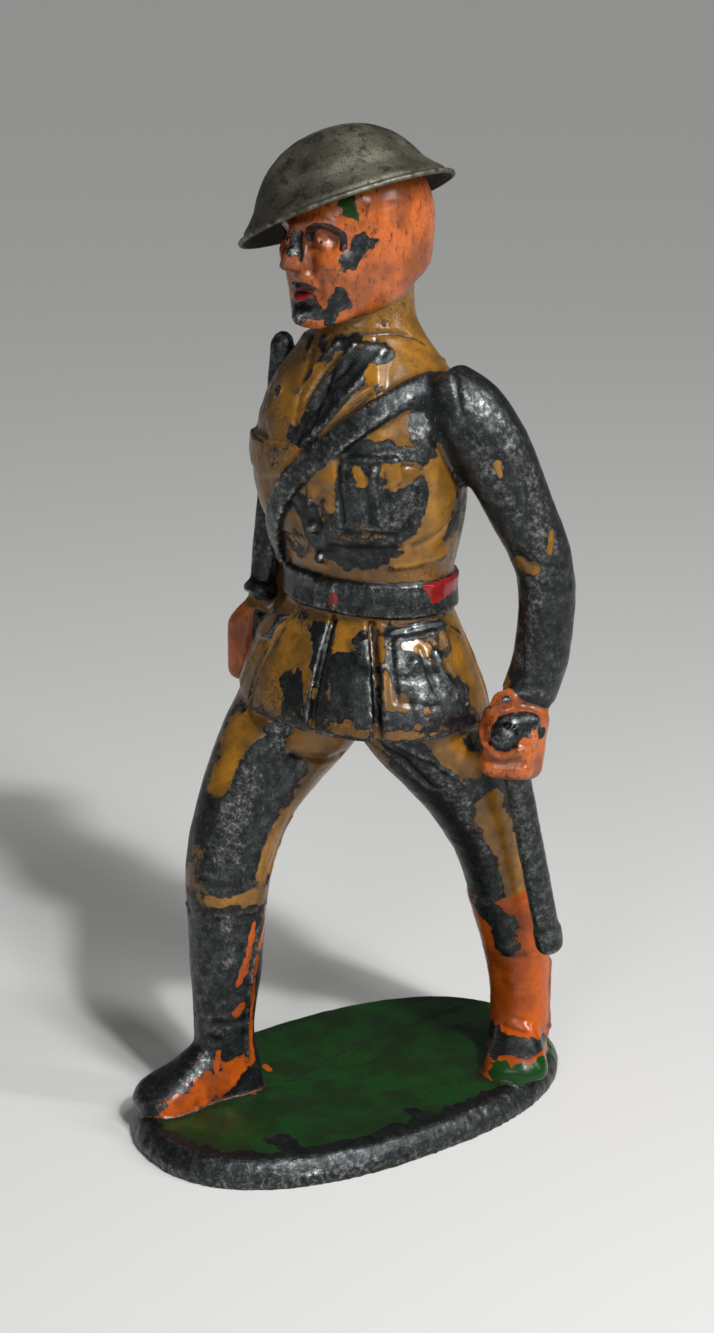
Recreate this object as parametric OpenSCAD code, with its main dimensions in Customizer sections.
// Hollow-cast toy soldier, an officer on the march with a drawn sword, under a loose tin helmet.
// The figure faces -Y, its left side is +X, and its base stands on Z = 0.

/* [Figure] */
// Height of the figure over its helmet, which places every joint of the body
figure_h = 83; // [76:1:90]
// Wall of the hollow casting round the chest and the head
casting_wall = 1.5; // [1:0.1:2.2]

/* [Base] */
// Length of the oval base along the stride
base_l = 40.4; // [38:0.2:50]
// Width of the oval base
base_w = 24.8; // [22:0.2:32]
// Thickness of the base
base_t = 2.2; // [1.6:0.1:3]
// How far the sloping side of the base draws in towards the top
base_slope = 0.9; // [0.4:0.1:1.4]

/* [Tunic] */
// Width of the chest without the arms
chest_w = 18.8; // [17:0.2:20]
// Depth of the chest from front to back
chest_d = 13.2; // [12:0.2:14.6]
// Width of the waist
waist_w = 14.6; // [13.4:0.2:16]
// Depth of the waist
waist_d = 10.6; // [9.6:0.2:11.6]
// Width of the skirt of the tunic at its hem
hem_w = 22.2; // [20.4:0.2:23.4]
// Depth of the skirt at its hem
hem_d = 17.4; // [16:0.2:18.4]
// Radius of the standing collar
collar_r = 3.9; // [3.6:0.1:4.4]
// How far pockets, lapels and flaps stand out from the cloth
relief = 0.5; // [0.3:0.05:0.7]
// Width of a breast pocket
breast_pocket_w = 6.4; // [5.4:0.2:6.8]
// Height of a breast pocket
breast_pocket_h = 7; // [5.6:0.2:7.4]
// Width of a hip pocket
hip_pocket_w = 7; // [5.6:0.2:7.6]
// Height of a hip pocket
hip_pocket_h = 6.4; // [5:0.2:6.8]
// Radius of a tunic button
button_r = 0.5; // [0.4:0.05:0.65]

/* [Belts] */
// Height of the waist belt
belt_h = 2.6; // [1.8:0.1:3.2]
// How far the belts stand out from the tunic
belt_t = 0.55; // [0.4:0.05:0.8]
// Width of the strap that crosses the chest
strap_w = 1.8; // [1.3:0.1:2.2]
// Side of the square belt buckle
buckle_w = 2.2; // [1.8:0.1:2.6]

/* [Limbs] */
// Radius of the sleeve at the shoulder
sleeve_r = 3.4; // [3:0.1:3.7]
// Radius of the thigh under the tunic
thigh_r = 4.8; // [4.3:0.1:5.1]
// Radius of a boot at its top
boot_r = 3.3; // [3:0.1:3.6]
// Length of the front foot
foot_l = 11.4; // [10.6:0.2:12]
// Width of a foot
foot_w = 5.4; // [4.8:0.1:6]
// Radius of a finger
finger_r = 0.8; // [0.65:0.05:0.9]

/* [Sword] */
// Width of the sword blade
blade_w = 2.3; // [1.8:0.1:2.6]
// Thickness of the sword blade
blade_t = 1.2; // [0.9:0.1:1.5]
// Width of the scabbard
scabbard_w = 2.4; // [2:0.1:2.8]
// Thickness of the scabbard
scabbard_t = 1.8; // [1.4:0.1:2.2]

/* [Head] */
// Length of the head from brow to back
head_l = 12.8; // [12.2:0.1:13.2]
// Width of the head
head_w = 10.4; // [9.8:0.1:10.8]

/* [Helmet] */
// Diameter of the helmet's dome where the brim begins
dome_d = 14.8; // [14.4:0.1:15.4]
// Width of the helmet's brim outside the dome
brim_w = 1.5; // [1.2:0.1:2.2]
// Height of the helmet's dome over its rim
dome_h = 6.3; // [6:0.1:7]
// Thickness of the helmet's tinplate
tin_t = 0.4; // [0.3:0.05:0.5]
// Gap between the helmet and the head under it
helmet_gap = 0.3; // [0.2:0.05:0.5]
// Radius of the hole in the crown of the head
crown_hole_r = 1.3; // [1.1:0.05:1.6]
// Running clearance between the clip, its cup and the hole
clip_clearance = 0.08; // [0.05:0.01:0.1]
// Length of the clip's legs below its head
clip_leg_l = 5; // [4:0.2:6]
// Thickness of the clip's head and of the floor of its cup
clip_t = 0.35; // [0.25:0.05:0.4]
// Width of the slot between the clip's legs
clip_slot = 0.6; // [0.4:0.05:0.8]

/* [Hidden] */
// Overrun of every cut past the surface that it opens
over = 0.5;

lead = "slategray";
khaki = "peru";
flesh = "coral";
boot_tan = "orangered";
grass = "darkgreen";
belt_red = "firebrick";
tin = "dimgray";

// Smooth tables

// The point a share t of the way from p1 to p2 on the curve through four rows
function bend(p0, p1, p2, p3, t) =
    (2 * p1 + (p2 - p0) * t + (2 * p0 - 5 * p1 + 4 * p2 - p3) * t * t
    + (3 * p1 - p0 - 3 * p2 + p3) * t * t * t) / 2;

// A table with n rows for each row given, on a smooth curve through them
function smooth(rows, n) = [
    for (i = [0 : len(rows) - 2], j = [0 : n - 1])
        bend(rows[max(i - 1, 0)], rows[i], rows[i + 1], rows[min(i + 2, len(rows) - 1)], j / n),
    rows[len(rows) - 1]
];

function unit(v) = v / norm(v);

// A signed power, which squares off an oval's corners as its exponent falls below 1
function soft_pow(x, p) = sign(x) * pow(abs(x), p);

// A table's columns, each times the size that it is a share of
function sized(rows, sizes) = [
    for (row = rows) [for (i = [0 : len(sizes) - 1]) row[i] * sizes[i]]
];

function total(v, i = 0) = i == len(v) - 1 ? v[i] : v[i] + total(v, i + 1);
function middle(ring) = total(ring) / len(ring);

// A closed solid through rings of equally many points, counter-clockwise seen from the last ring
module skin(rings) {
    n = len(rings[0]);
    last = len(rings) - 1;
    sides = [
        for (i = [0 : last - 1], j = [0 : n - 1])
            let (a = i * n + j, b = i * n + (j + 1) % n)
            each [[a, a + n, b], [b, a + n, b + n]]
    ];
    first_mid = (last + 1) * n;
    caps = [
        for (j = [0 : n - 1])
            let (k = (j + 1) % n)
            each [[first_mid, j, k], [first_mid + 1, last * n + k, last * n + j]]
    ];
    mids = [middle(rings[0]), middle(rings[last])];
    polyhedron(points = concat([for (ring = rings) each ring], mids), faces = concat(sides, caps));
}

// A limb through rows of [x, y, z, side radius, fore radius], its rings square to its line
module limb(rows, n = 2, points = 20) {
    line = smooth(rows, n);
    last = len(line) - 1;
    skin([
        for (i = [0 : last])
            let (
                r = line[i],
                a = line[max(i - 1, 0)],
                b = line[min(i + 1, last)],
                t = unit([b[0] - a[0], b[1] - a[1], b[2] - a[2]]),
                side = unit(cross([0, 1, 0], t)),
                fore = cross(t, side)
            )
            [for (k = [0 : points - 1])
                let (w = 360 * k / points)
                [r[0], r[1], r[2]] + side * (r[3] * cos(w)) + fore * (r[4] * sin(w))]
    ]);
}

// A line with round ends between two points
module line_between(a, b, r) {
    hull() {
        translate(a) sphere(r, $fn = 8);
        translate(b) sphere(r, $fn = 8);
    }
}

// Base: an oval slab with a sloping side

// How blunt the oval's ends are: 1 is an ellipse, less is blunter
oval_power = 0.88;

function oval(l, w, n = 56) = [
    for (k = [0 : n - 1])
        [w / 2 * soft_pow(cos(360 * k / n), oval_power), l / 2 * soft_pow(sin(360 * k / n), oval_power)]
];

base_rim_share = 0.35;

module base_form() {
    rim = base_t * base_rim_share;
    linear_extrude(rim) polygon(oval(base_l, base_w));
    skin([
        for (row = [[0, 0], [0.45, 0.35], [0.8, 0.75], [1, 1.3]])
            let (z = rim + (base_t - rim) * row[0], inset = 2 * base_slope * row[1])
            [for (p = oval(base_l - inset, base_w - inset)) [p[0], p[1], z]]
    ]);
}

module base() {
    color(grass) base_form();
}

// Boots: a shaft over a foot with a flat sole

// Rows of [left, back, up] as shares of the figure's height, then radii as shares of the boot's
right_shaft_shares = [
    [-0.052, -0.118, 0.050, 0.74, 0.86],
    [-0.052, -0.123, 0.085, 0.74, 0.80],
    [-0.053, -0.121, 0.120, 0.80, 0.84],
    [-0.054, -0.118, 0.160, 0.92, 0.94],
    [-0.055, -0.116, 0.205, 0.98, 1.00],
    [-0.055, -0.115, 0.234, 1.02, 1.04]
];
left_shaft_shares = [
    [0.060, 0.176, 0.045, 0.80, 0.88],
    [0.060, 0.176, 0.080, 0.76, 0.80],
    [0.060, 0.174, 0.120, 0.80, 0.84],
    [0.061, 0.168, 0.160, 0.90, 0.92],
    [0.061, 0.156, 0.205, 0.96, 0.98],
    [0.061, 0.148, 0.230, 0.98, 1.00]
];
// Rows from heel to toe: place along the foot, half width and height of the upper
foot_shares = [
    [-0.21, 0.30, 0.60],
    [-0.16, 0.44, 0.90],
    [0.00, 0.46, 1.10],
    [0.20, 0.43, 0.98],
    [0.40, 0.50, 0.66],
    [0.58, 0.54, 0.48],
    [0.70, 0.44, 0.36],
    [0.78, 0.22, 0.20]
];
// Height of the instep against the foot's width
instep_share = 0.95;

module foot(long) {
    rows = smooth(sized(foot_shares, [long, foot_w, foot_w * instep_share]), 2);
    points = 18;
    skin([
        for (row = rows)
            [for (k = [0 : points - 1])
                let (w = 360 * k / points)
                [
                    row[1] * soft_pow(cos(w), 0.8),
                    -row[0],
                    row[2] * max(soft_pow(sin(w), 0.9), 0)
                ]]
    ]);
}

module boot_form(shares, long, turn) {
    limb(sized(shares, [figure_h, figure_h, figure_h, boot_r, boot_r]));
    translate([figure_h * shares[0][0], figure_h * shares[0][1], base_t]) rotate([0, 0, turn]) foot(long);
}

module right_boot_form() {
    boot_form(right_shaft_shares, foot_l, -3);
}

// The rear foot is shorter and turned out
rear_foot_share = 0.74;
rear_foot_turn = 48;

module left_boot_form() {
    boot_form(left_shaft_shares, foot_l * rear_foot_share, rear_foot_turn);
}

module right_boot() {
    color(boot_tan) right_boot_form();
}

module left_boot() {
    color(boot_tan) left_boot_form();
}

// Breeches, full at the thigh and drawn in above the boot

right_leg_shares = [
    [-0.055, -0.116, 0.222, 0.62, 0.64],
    [-0.055, -0.115, 0.236, 0.70, 0.72],
    [-0.056, -0.112, 0.262, 0.74, 0.76],
    [-0.058, -0.104, 0.295, 0.74, 0.80],
    [-0.061, -0.084, 0.335, 0.82, 0.86],
    [-0.062, -0.053, 0.380, 0.98, 1.02],
    [-0.060, -0.012, 0.425, 1.10, 1.16],
    [-0.052, 0.006, 0.470, 1.06, 1.12]
];
left_leg_shares = [
    [0.061, 0.152, 0.218, 0.58, 0.60],
    [0.061, 0.148, 0.234, 0.64, 0.66],
    [0.062, 0.141, 0.260, 0.68, 0.70],
    [0.064, 0.128, 0.295, 0.74, 0.76],
    [0.065, 0.104, 0.345, 0.86, 0.90],
    [0.063, 0.076, 0.390, 0.98, 1.02],
    [0.057, 0.044, 0.430, 1.04, 1.06],
    [0.046, 0.022, 0.462, 0.98, 1.02]
];

module right_leg_form() {
    limb(sized(right_leg_shares, [figure_h, figure_h, figure_h, thigh_r, thigh_r]));
}

module left_leg_form() {
    limb(sized(left_leg_shares, [figure_h, figure_h, figure_h, thigh_r, thigh_r]));
}

module right_leg() {
    color(khaki) difference() {
        right_leg_form();
        right_boot_form();
        tunic_form();
    }
}

module left_leg() {
    color(khaki) difference() {
        left_leg_form();
        left_boot_form();
        right_leg_form();
        tunic_form();
    }
}

// Torso, drawn about an upright axis and turned a little to the figure's left

torso_turn = 12;
torso_back_share = 0.014;

module torso_place() {
    translate([0, figure_h * torso_back_share, 0]) rotate([0, 0, torso_turn]) children();
}

// Rows of [forward shift, up] as shares of the figure's height, then how much of the hem's, the
// waist's, the chest's and the collar's size the section takes, and how square it is
tunic_shares = [
    [-0.002, 0.432, 0.98, 0, 0, 0, 0.92],
    [-0.002, 0.441, 1.00, 0, 0, 0, 0.92],
    [-0.003, 0.470, 0.93, 0, 0, 0, 0.92],
    [-0.005, 0.505, 0.50, 0.48, 0, 0, 0.93],
    [-0.010, 0.535, 0.10, 0.90, 0, 0, 0.95],
    [-0.011, 0.560, 0, 1.00, 0, 0, 0.96],
    [-0.008, 0.590, 0, 0.72, 0.28, 0, 0.95],
    [0.000, 0.635, 0, 0.12, 0.88, 0, 0.92],
    [0.003, 0.680, 0, 0, 1.01, 0, 0.92],
    [0.000, 0.725, 0, 0, 0.99, 0, 0.94],
    [-0.004, 0.758, 0, 0, 0.88, 0, 0.96],
    [-0.006, 0.780, 0, 0, 0.62, 0.25, 0.98],
    [-0.006, 0.798, 0, 0, 0.22, 0.78, 1.00],
    [-0.005, 0.818, 0, 0, 0, 1.03, 1.00],
    [-0.004, 0.840, 0, 0, 0, 0.98, 1.00],
    [-0.002, 0.880, 0, 0, 0, 1.02, 1.00]
];

function half_w(r) = (r[2] * hem_w + r[3] * waist_w + r[4] * chest_w) / 2 + r[5] * collar_r;
function half_d(r) = (r[2] * hem_d + r[3] * waist_d + r[4] * chest_d) / 2 + r[5] * collar_r;

function torso_ring(r, grow, points) = [
    for (k = [0 : points - 1])
        let (w = 360 * k / points)
        [
            (half_w(r) + grow) * soft_pow(cos(w), r[6]),
            -figure_h * r[0] + (half_d(r) + grow) * soft_pow(sin(w), r[6]),
            figure_h * r[1]
        ]
];

module torso_skin(grow = 0, n = 2, points = 30) {
    skin([for (r = smooth(tunic_shares, n)) torso_ring(r, grow, points)]);
}

// The collar ends on a plane that rises from the chin to the nape
collar_top_share = [0, 0.002, 0.837];
collar_rise = 21;

module above_collar() {
    translate(figure_h * collar_top_share)
        rotate([collar_rise, 0, 0])
        translate([-hem_w, -hem_w, 0])
        cube([2 * hem_w, 2 * hem_w, 2 * hem_w]);
}

// A plate cut outward from the torso's axis, to raise or sink an outline on its surface
module outward(points, turn = 0) {
    rotate([0, 0, turn]) rotate([90, 0, 0]) linear_extrude(hem_w) polygon(points);
}

module raised(points, height, turn = 0) {
    intersection() {
        torso_skin(height);
        outward(points, turn);
    }
}

// Outlines on the front, as shares of the chest's width across and the figure's height up
lapel_shares = [
    [0.03, 0.647], [0.14, 0.683], [0.25, 0.718], [0.31, 0.742],
    [0.26, 0.753], [0.30, 0.766], [0.22, 0.803], [0.10, 0.803], [0.07, 0.737]
];
tie_shares = [[-0.035, 0.662], [0.035, 0.662], [0.055, 0.806], [-0.055, 0.806]];

function outline(shares, flip = 1) = [
    for (p = shares) [flip * p[0] * chest_w, p[1] * figure_h]
];

module lapels() {
    raised(outline(lapel_shares), relief * 0.95);
    raised(outline(lapel_shares, -1), relief * 0.8);
    raised(outline(tie_shares), relief * 0.4);
}

// Outlines of a patch pocket, its pleat and its flap, as shares of the pocket's width and height
pocket_shares = [[-0.5, -0.5], [0.5, -0.5], [0.46, 0.48], [-0.46, 0.48]];
pleat_shares = [[-0.13, -0.46], [0.13, -0.46], [0.13, 0.44], [-0.13, 0.44]];
flap_shares = [
    [-0.53, 0.54], [-0.54, 0.26], [-0.28, 0.17], [0, 0.10], [0.28, 0.17], [0.54, 0.26], [0.53, 0.54]
];

// A pocket centred at a height and a place across its own plate, which is turned to face outward
module pocket(w, h, across, up, lean, turn) {
    function placed(shares) = [
        for (p = shares)
            let (x = p[0] * w, z = p[1] * h)
            [across + x * cos(lean) - z * sin(lean), up + x * sin(lean) + z * cos(lean)]
    ];
    raised(placed(pocket_shares), relief * 0.55, turn);
    raised(placed(pleat_shares), relief * 0.85, turn);
    raised(placed(flap_shares), relief * 1.1, turn);
}

breast_pocket_up_share = 0.659;
breast_pocket_turn = 38;
hip_pocket_up_share = 0.487;
hip_pocket_turn = 70;

module pockets() {
    for (side = [-1, 1]) {
        pocket(breast_pocket_w, breast_pocket_h, side * 0.02 * chest_w,
            breast_pocket_up_share * figure_h, side * 3, side * breast_pocket_turn);
        pocket(hip_pocket_w, hip_pocket_h, side * 0.01 * hem_w,
            hip_pocket_up_share * figure_h, side * 5, side * hip_pocket_turn);
    }
}

// Buttons: on the lapels, the pocket flaps and the front edge, at a turn and a height
button_shares = [
    [27, 0.757], [-33, 0.752], [38, 0.684], [-37, 0.683],
    [70, 0.505], [-70, 0.505], [6, 0.629], [6, 0.597]
];

// How far the torso's surface lies from its axis in a direction, in the row nearest a height
function surface_at(turn, z) =
    let (
        rows = smooth(tunic_shares, 4),
        gaps = [for (r = rows) abs(figure_h * r[1] - z)],
        r = rows[search(min(gaps), gaps)[0]],
        a = half_w(r),
        b = half_d(r)
    )
    1 / sqrt(pow(sin(turn) / a, 2) + pow(cos(turn) / b, 2)) + figure_h * r[0] * cos(turn);

module buttons() {
    for (p = button_shares) {
        z = p[1] * figure_h;
        rotate([0, 0, p[0]]) translate([0, -surface_at(p[0], z), z]) rotate([90, 0, 0]) hull() {
            translate([0, 0, -relief]) cylinder(r = button_r, h = 2.1 * relief, $fn = 12);
            cylinder(r = button_r * 0.6, h = 1.1 * relief + button_r * 0.6, $fn = 12);
        }
    }
}

// The coat's front edge and the edges of its side panels, sunk below the belt
skirt_groove_turns = [14, 50, -38];
groove_w_share = 0.03;

module skirt_grooves() {
    w = groove_w_share * hem_w;
    difference() {
        union() for (turn = skirt_groove_turns) outward([
            [-w / 2, figure_h * 0.41], [w / 2, figure_h * 0.41],
            [w / 2, figure_h * 0.539], [-w / 2, figure_h * 0.539]
        ], turn);
        torso_skin(-relief * 1.3, 1, 20);
    }
}

module tunic_form() {
    torso_place() difference() {
        union() {
            torso_skin();
            lapels();
            pockets();
            buttons();
        }
        skirt_grooves();
    }
}

// The hollow of the casting, from above the hem to the neck
module torso_hollow() {
    rows = [for (r = tunic_shares) if (r[1] > 0.5) r];
    torso_place() skin([for (r = rows) torso_ring(r, -casting_wall, 14)]);
}

module tunic() {
    color(khaki) difference() {
        tunic_form();
        belt_form();
        strap_form();
        above_collar();
        torso_hollow();
    }
}

// Waist belt, buckle and the strap from the left shoulder to the right side of the waist

belt_z_share = 0.5595;
// How deep the belts are let into the tunic, as a share of how far they stand out
let_in_share = 0.6;

// A slab that reaches down from the top edge of the belt
module belt_slab(h) {
    translate([-hem_w, -hem_w, figure_h * belt_z_share + belt_h / 2 - h])
        cube([2 * hem_w, 2 * hem_w, h]);
}

module belt_form() {
    torso_place() difference() {
        intersection() {
            torso_skin(belt_t);
            belt_slab(belt_h);
        }
        torso_skin(-belt_t * let_in_share, 1, 16);
    }
}

module waist_belt() {
    color(lead) difference() {
        belt_form();
        buckle_form();
    }
}

buckle_x_share = 0.05;

module buckle_form() {
    torso_place() difference() {
        intersection() {
            torso_skin(belt_t * 1.8);
            rotate([90, 0, 0])
                translate([buckle_x_share * waist_w, figure_h * belt_z_share, 0])
                linear_extrude(hem_d)
                square(buckle_w, center = true);
        }
        torso_skin(belt_t * 0.3, 1, 24);
    }
}

module belt_buckle() {
    color(belt_red) buckle_form();
}

// Line of the strap down the front, and down the back, from shoulder to waist
strap_front_shares = [
    [0.52, 0.800], [0.44, 0.776], [0.33, 0.748], [0.15, 0.711], [-0.03, 0.676],
    [-0.18, 0.636], [-0.30, 0.592], [-0.36, 0.548]
];
strap_back_shares = [[0.52, 0.800], [0.42, 0.765], [0.0, 0.665], [-0.38, 0.548]];

// A band of even width along a line of points
function band(line, w) =
    let (
        last = len(line) - 1,
        across = [
            for (i = [0 : last])
                let (t = unit(line[min(i + 1, last)] - line[max(i - 1, 0)]))
                [-t[1], t[0]]
        ]
    )
    concat(
        [for (i = [0 : last]) line[i] + across[i] * w / 2],
        [for (i = [last : -1 : 0]) line[i] - across[i] * w / 2]
    );

module strap_form() {
    torso_place() difference() {
        union() {
            raised(band(smooth(outline(strap_front_shares), 2), strap_w), relief + belt_t * 0.65);
            raised(band(smooth(outline(strap_back_shares, -1), 2), strap_w), relief + belt_t * 0.65, 180);
        }
        belt_slab(3 * belt_h);
        torso_skin(-belt_t * let_in_share, 1, 16);
    }
}

module cross_strap() {
    color(lead) difference() {
        strap_form();
        left_sleeve_form();
        above_collar();
    }
}

// Sleeves, from inside the shoulder to the cuff

right_arm_shares = [
    [-0.528, -0.010, 0.492, 0.72, 0.72],
    [-0.545, 0.010, 0.524, 0.76, 0.76],
    [-0.566, 0.038, 0.570, 0.80, 0.80],
    [-0.570, 0.050, 0.610, 0.84, 0.84],
    [-0.542, 0.048, 0.665, 0.90, 0.90],
    [-0.496, 0.042, 0.712, 0.96, 0.96],
    [-0.436, 0.036, 0.746, 0.96, 0.96],
    [-0.336, 0.028, 0.766, 0.74, 0.74]
];
left_arm_shares = [
    [0.546, 0.106, 0.462, 0.74, 0.76],
    [0.572, 0.118, 0.500, 0.76, 0.78],
    [0.587, 0.124, 0.550, 0.76, 0.78],
    [0.594, 0.120, 0.596, 0.80, 0.80],
    [0.570, 0.098, 0.650, 0.88, 0.88],
    [0.537, 0.074, 0.706, 0.98, 0.98],
    [0.480, 0.052, 0.746, 0.98, 0.98],
    [0.380, 0.040, 0.766, 0.76, 0.76]
];

// The arms stand out from the skirt of the coat at the hands, and from the chest at the shoulders
hand_up_share = 0.46;
shoulder_up_share = 0.766;

function out_at(up) =
    let (t = (up - hand_up_share) / (shoulder_up_share - hand_up_share))
    hem_w + (chest_w - hem_w) * min(1, max(0, t));

function beside(share) = [share[0] * out_at(share[2]), share[1] * figure_h, share[2] * figure_h];

module arm(shares) {
    limb([for (s = shares) concat(beside(s), sleeve_r * [s[3], s[4]])]);
}

module right_sleeve_form() {
    arm(right_arm_shares);
}

module left_sleeve_form() {
    arm(left_arm_shares);
}

module right_sleeve() {
    color(khaki) difference() {
        right_sleeve_form();
        tunic_form();
        belt_form();
        strap_form();
        sword_form();
    }
}

module left_sleeve() {
    color(khaki) difference() {
        left_sleeve_form();
        tunic_form();
        belt_form();
    }
}

// Fists: a palm and four fingers that curl round a grip, with the thumb across them

// A fist at the origin round a grip along Z, its back towards +X
module fist() {
    palm = finger_r * 1.5;
    hull() {
        translate([palm, 0, finger_r * 2.2]) sphere(palm, $fn = 12);
        translate([palm, 0, -finger_r * 2.2]) sphere(palm, $fn = 12);
        translate([0, 0, finger_r * 4]) sphere(palm, $fn = 12);
    }
    for (i = [0 : 3]) {
        z = finger_r * (2.1 - 1.5 * i);
        knuckle = [palm * 1.5, -palm * 1.1, z];
        middle = [0, -palm * 1.7, z - finger_r * 0.2];
        line_between(knuckle, middle, finger_r);
        line_between(middle, [-palm * 0.9, -palm * 0.6, z], finger_r);
    }
    line_between([palm * 0.2, -palm * 0.2, finger_r * 4], [0, -palm * 1.6, finger_r * 3.4], finger_r * 1.05);
}

// Each fist's place from the end of its sleeve, as shares of a finger's radius
right_fist_share = [-0.2, -1.66, -3.11];
left_fist_share = [0.1, -1.87, -3.94];
right_fist = beside(right_arm_shares[0]) + finger_r * right_fist_share;
left_fist = beside(left_arm_shares[0]) + finger_r * left_fist_share;

module right_hand_form() {
    translate(right_fist) rotate([6, 4, 200]) fist();
}

module left_hand_form() {
    translate(left_fist) rotate([-14, 0, 20]) scale([1.25, 1.25, 1.1]) fist();
}

module right_hand() {
    color(flesh) difference() {
        right_hand_form();
        sword_form();
        right_sleeve_form();
        tunic_form();
        right_leg_form();
    }
}

module left_hand() {
    color(flesh) difference() {
        left_hand_form();
        scabbard_form();
        left_sleeve_form();
        tunic_form();
        left_leg_form();
    }
}

// Sword: held upright against the right arm, with a guard under the fist

// The pommel's place from the fist, as shares of a finger's radius, and the tip's beside the chest
sword_low_share = [0, 0.21, -2.7];
sword_tip_share = [-0.490, -0.001, 0.800];

module sword_form() {
    a = right_fist + finger_r * sword_low_share;
    b = beside(sword_tip_share);
    long = norm(b - a);
    grip = finger_r * 9;
    flat = blade_t / blade_w;
    along = unit(b - a);
    translate(a)
        rotate([-asin(along[1]), atan2(along[0], along[2]), 0])
        rotate([0, 0, 35]) {
            hull() {
                translate([0, 0, grip]) scale([1, flat, 1]) cylinder(d = blade_w, h = blade_w, $fn = 12);
                translate([0, 0, long - blade_w]) scale([1, flat, 1.4]) sphere(d = blade_w, $fn = 12);
            }
            cylinder(d = blade_t * 1.3, h = grip, $fn = 14);
            hull() {
                translate([0, 0, grip]) cylinder(d = blade_w * 1.35, h = blade_t * 0.4, $fn = 14);
                translate([0, 0, grip + blade_t * 0.4]) cylinder(d = blade_w, h = blade_t * 0.4, $fn = 14);
            }
            hull() {
                sphere(d = blade_w * 0.8, $fn = 10);
                translate([0, 0, -blade_t * 0.5]) sphere(d = blade_w * 0.6, $fn = 10);
            }
        }
}

module sword() {
    color(lead) difference() {
        sword_form();
        tunic_form();
        strap_form();
        right_leg_form();
    }
}

// Scabbard, from a round mouth in the left fist down beside the rear leg

// The mouth's place from the fist, as shares of a finger's radius, and the tip's beside the leg
scabbard_top_share = [0.1, -0.62, 0.83];
scabbard_low_share = [0.535, 0.145, 0.190];

module scabbard_form() {
    a = left_fist + finger_r * scabbard_top_share;
    b = beside(scabbard_low_share);
    flat = [1, scabbard_w / scabbard_t, 1];
    hull() {
        translate(a) scale(flat) sphere(d = scabbard_t, $fn = 12);
        translate(b) scale(flat) sphere(d = scabbard_t, $fn = 12);
    }
    hull() {
        translate(b) scale(flat) sphere(d = scabbard_t * 1.12, $fn = 12);
        translate(b + 0.07 * (a - b)) scale(flat) sphere(d = scabbard_t * 1.12, $fn = 12);
    }
    translate(a + scabbard_w * [0.55, -0.55, 0.1]) hull() {
        sphere(d = scabbard_w * 1.15, $fn = 14);
        translate(scabbard_w * [-0.4, 0.4, 0]) sphere(d = scabbard_w, $fn = 14);
    }
}

module scabbard() {
    color(lead) difference() {
        scabbard_form();
        left_leg_form();
        left_boot_form();
        left_sleeve_form();
        tunic_form();
    }
}

// Head: one skin, with the face raised on it by smooth bumps

head_mid_share = [0, 0.007, 0.892];
head_turn = 8;

// Rows of [forward shift, up, half width, front, back] as shares of the head's length and width
head_shares = [
    [0.00, -0.60, 0.36, 0.30, 0.30],
    [0.00, -0.53, 0.39, 0.36, 0.33],
    [0.00, -0.485, 0.40, 0.41, 0.35],
    [0.00, -0.42, 0.41, 0.435, 0.38],
    [0.00, -0.33, 0.43, 0.44, 0.43],
    [0.00, -0.22, 0.455, 0.45, 0.475],
    [0.00, -0.10, 0.48, 0.455, 0.50],
    [0.00, 0.03, 0.50, 0.46, 0.515],
    [0.00, 0.16, 0.50, 0.475, 0.515],
    [0.00, 0.28, 0.48, 0.465, 0.49],
    [0.00, 0.39, 0.43, 0.42, 0.44],
    [0.00, 0.48, 0.35, 0.34, 0.36],
    [0.00, 0.55, 0.24, 0.23, 0.25],
    [0.00, 0.585, 0.12, 0.12, 0.13]
];

// Bumps of the face: [across, up, half width, half height, rise] as shares of the head's length
face_shares = [
    [0, 0.02, 0.055, 0.16, 0.045],
    [0, -0.115, 0.06, 0.07, 0.075],
    [0, -0.155, 0.10, 0.035, 0.030],
    [0.165, 0.045, 0.105, 0.060, -0.040],
    [-0.165, 0.045, 0.105, 0.060, -0.040],
    [0.155, 0.035, 0.055, 0.030, 0.022],
    [-0.155, 0.035, 0.055, 0.030, 0.022],
    [0.150, 0.130, 0.130, 0.035, 0.018],
    [-0.150, 0.130, 0.130, 0.035, 0.018],
    [0, -0.255, 0.090, 0.022, 0.028],
    [0, -0.305, 0.075, 0.022, 0.026],
    [0, -0.280, 0.110, 0.012, -0.018],
    [0, -0.425, 0.110, 0.060, 0.036],
    [0.26, -0.10, 0.10, 0.10, 0.014],
    [-0.26, -0.10, 0.10, 0.10, 0.014]
];

// How far the face stands forward of the plain head at a point across and up
function face_rise(x, z, i = 0) =
    i == len(face_shares) ? 0 :
    let (b = face_shares[i], u = (x / head_l - b[0]) / b[2], v = (z / head_l - b[1]) / b[3])
    b[4] * head_l * exp(-u * u - v * v) + face_rise(x, z, i + 1);

// Angles round the head, closer together on the face
head_points = 40;
function head_angle(k) = let (a = 360 * k / head_points) a + 24 * cos(a);

module head_skin() {
    rows = smooth(sized(head_shares, [head_l, head_l, head_w, head_l, head_l]), 2);
    skin([
        for (r = rows)
            [for (k = [0 : head_points - 1])
                let (
                    w = head_angle(k),
                    x = r[2] * soft_pow(cos(w), 0.94),
                    fore = sin(w) < 0 ? r[3] : r[4],
                    y = fore * soft_pow(sin(w), 0.94),
                    rise = sin(w) < 0 ? face_rise(x, r[1]) * min(1, -2.4 * sin(w)) : 0
                )
                [x, y - rise, r[1]]]
    ]);
}

// The helmet's axis, cocked to the figure's right and a little forward
helmet_lean = -21.6;
helmet_pitch = 7.4;
rim_lift_share = 0.19;

module helmet_place() {
    translate(figure_h * head_mid_share)
        rotate([helmet_pitch, helmet_lean, 0])
        translate([0, 0, head_l * rim_lift_share])
        children();
}

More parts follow.
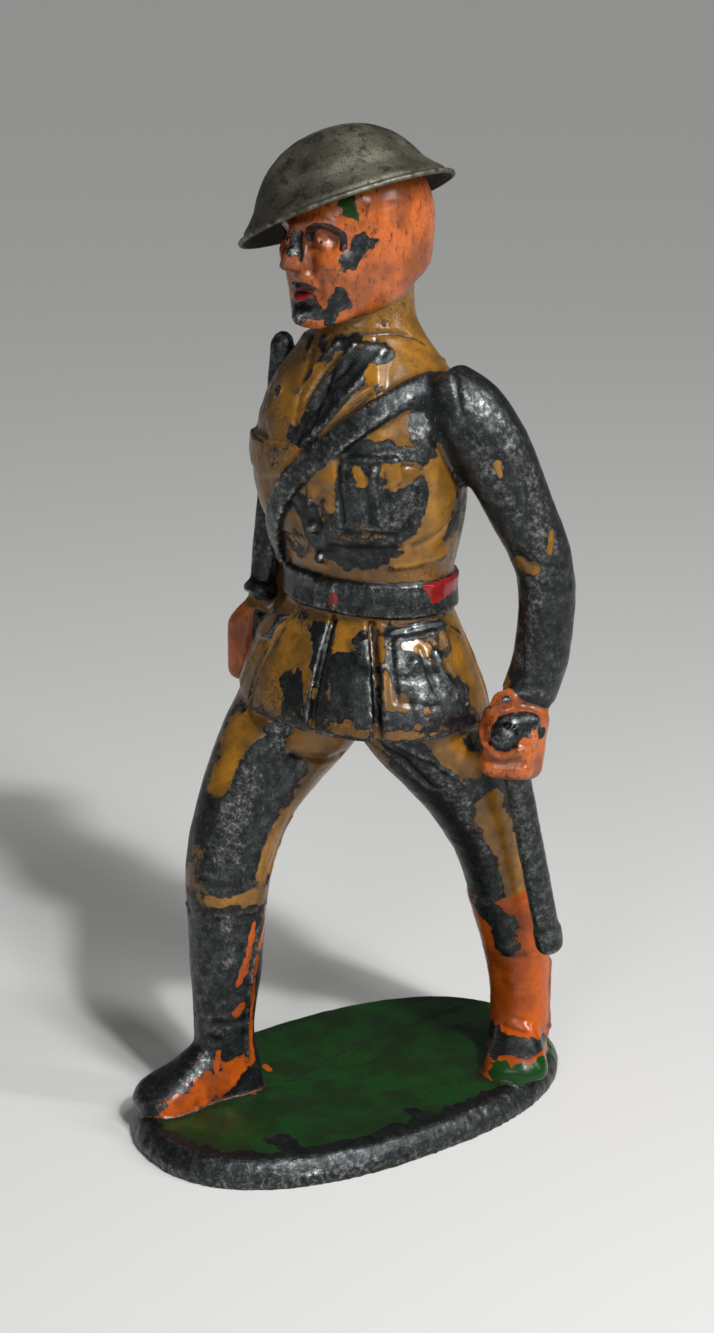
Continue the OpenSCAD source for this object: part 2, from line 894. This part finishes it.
// Outside of the dome as points of radius and height over the rim, from the crown to the brim
dome_shares = [
    [0.00, 1.000], [0.20, 0.985], [0.40, 0.930], [0.58, 0.830], [0.74, 0.680], [0.87, 0.480],
    [0.95, 0.290], [1.00, 0.150]
];

function dome_line(inset) = [
    for (p = smooth(dome_shares, 2))
        [max(p[0] * dome_d / 2 - inset * pow(p[0], 1.5), 0), p[1] * dome_h - inset * (1 - 0.45 * p[0])]
];

// The space in the dome, which the crown of the head keeps clear of
module in_dome(inset) {
    line = dome_line(inset);
    last = line[len(line) - 1];
    rotate_extrude($fn = 64) polygon(concat(
        [for (p = line) p],
        [[last[0], -head_l * 1.5], [0, -head_l * 1.5]]
    ));
}

cup_r = crown_hole_r * 2.1;
cup_h = clip_t * 2 + clip_clearance * 2;
// Height of the underside of the cup over the rim
cup_low = dome_h - tin_t - clip_t * 1.2 - cup_h;
// Height of the flat crown of the head over the rim, under the cup
crown_up = cup_low - helmet_gap;

module head() {
    color(flesh) difference() {
        intersection() {
            translate(figure_h * head_mid_share) rotate([0, 0, head_turn]) head_skin();
            helmet_place() difference() {
                in_dome(tin_t + helmet_gap);
                translate([0, 0, crown_up]) cylinder(r = dome_d, h = dome_h);
            }
        }
        difference() {
            translate([-head_l, -head_l, figure_h * 0.7]) cube([2 * head_l, 2 * head_l, figure_h * 0.4]);
            above_collar();
        }
        helmet_place() {
            translate([0, 0, -head_l * rim_lift_share]) {
                cylinder(r = crown_hole_r, h = head_l, $fn = 48);
                sphere(r = head_w / 2 - casting_wall, $fn = 32);
                cylinder(
                    r1 = head_w / 2 - casting_wall,
                    r2 = crown_hole_r * 1.7,
                    h = crown_up + head_l * rim_lift_share - casting_wall,
                    $fn = 32
                );
            }
        }
        translate(figure_h * head_mid_share)
            translate([0, 0, -head_l])
            cylinder(r = collar_r - casting_wall, h = head_l, $fn = 24);
    }
}

// Tin helmet: one pressing, a dome that sweeps out into a flat brim with a rolled edge

module tin_helmet() {
    outer = dome_line(0);
    inner = dome_line(tin_t);
    brim_r = dome_d / 2 + brim_w;
    n = len(outer) - 1;
    color(tin) helmet_place() rotate_extrude($fn = 72) polygon(concat(
        outer,
        [
            [dome_d / 2 + (brim_r - dome_d / 2) * 0.35, tin_t * 1.15],
            [brim_r - tin_t, tin_t * 0.75],
            [brim_r, tin_t * 0.45],
            [brim_r, -tin_t * 0.55],
            [brim_r - tin_t * 0.8, -tin_t * 0.8],
            [brim_r - tin_t * 0.9, -tin_t * 0.3],
            [dome_d / 2 + (brim_r - dome_d / 2) * 0.2, 0]
        ],
        [for (i = [n : -1 : 0]) inner[i]]
    ));
}

// Cup soldered inside the crown of the helmet, which traps the clip's head

clip_head_r = cup_r - clip_t * 1.4;

module clip_cup() {
    color(lead) helmet_place() difference() {
        intersection() {
            translate([0, 0, cup_low]) cylinder(r = cup_r, h = dome_h, $fn = 48);
            in_dome(tin_t);
        }
        translate([0, 0, cup_low + clip_t])
            cylinder(r = clip_head_r + clip_clearance, h = clip_t + 2 * clip_clearance, $fn = 48);
        translate([0, 0, cup_low - over])
            cylinder(r = crown_hole_r, h = clip_t + over + clip_clearance, $fn = 48);
    }
}

// Spring clip: a round head over two legs, which spring out under the wall of the crown

// How far the clip can rise before its legs meet the inside of the crown
clip_rise = 1.5;
// How far the sprung legs stand out past the hole
clip_barb = 0.35;

module helmet_clip() {
    r = crown_hole_r - clip_clearance;
    top = cup_low + clip_t + clip_clearance;
    barb = crown_up - casting_wall - clip_rise;
    tip = top - clip_leg_l;
    color(lead) helmet_place() difference() {
        rotate_extrude($fn = 48) polygon([
            [0, top + clip_t], [clip_head_r, top + clip_t], [clip_head_r, top], [r, top],
            [r, barb + clip_barb], [crown_hole_r + clip_barb, barb],
            [crown_hole_r + clip_barb * 0.6, barb - clip_barb], [r * 0.6, tip], [0, tip]
        ]);
        translate([-clip_slot / 2, -r - clip_barb - over, tip - over])
            cube([clip_slot, 2 * (r + clip_barb + over), clip_leg_l + over - clip_t]);
    }
}

base();
right_boot();
left_boot();
right_leg();
left_leg();
tunic();
waist_belt();
belt_buckle();
cross_strap();
right_sleeve();
left_sleeve();
right_hand();
left_hand();
sword();
scabbard();
head();
tin_helmet();
clip_cup();
helmet_clip();
